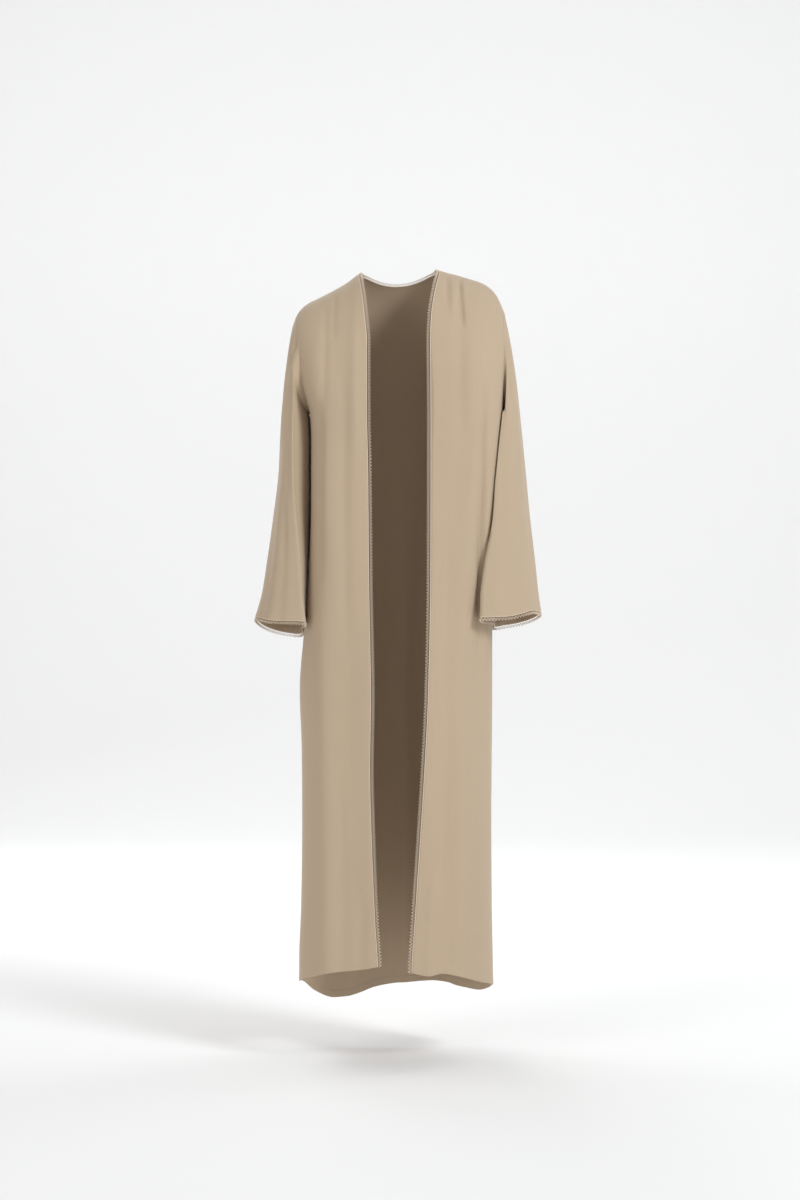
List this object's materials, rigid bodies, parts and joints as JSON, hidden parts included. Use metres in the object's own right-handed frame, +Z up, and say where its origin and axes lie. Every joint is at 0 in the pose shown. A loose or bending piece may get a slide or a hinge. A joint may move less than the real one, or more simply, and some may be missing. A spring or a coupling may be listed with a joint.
{
  "type": "abaya cloak",
  "caption": "Full-length open-front abaya cloak in worn form, with wide hanging sleeves and a looped picot trim along the front edges, neck and cuffs.",
  "frame": {"origin": "between the two shoulder seams at the neck, where the wearer's shoulders hold the garment up", "axes": "+Z up, -Y the way the wearer faces, +X towards the wearer's left arm"},
  "size_m": [0.578, 0.2705, 1.481],
  "materials": {
    "crepe": "matt beige crepe, soft drape",
    "trim_thread": "light beige looped thread trim"
  },
  "bodies": {
    "root": {"back": "crepe", "front_right": "crepe", "front_left": "crepe", "sleeve_right": "crepe", "sleeve_left": "crepe", "edge_trim_right": "trim_thread", "edge_trim_left": "trim_thread", "neck_trim": "trim_thread", "cuff_trim_right": "trim_thread", "cuff_trim_left": "trim_thread"}
  },
  "joints": []
}
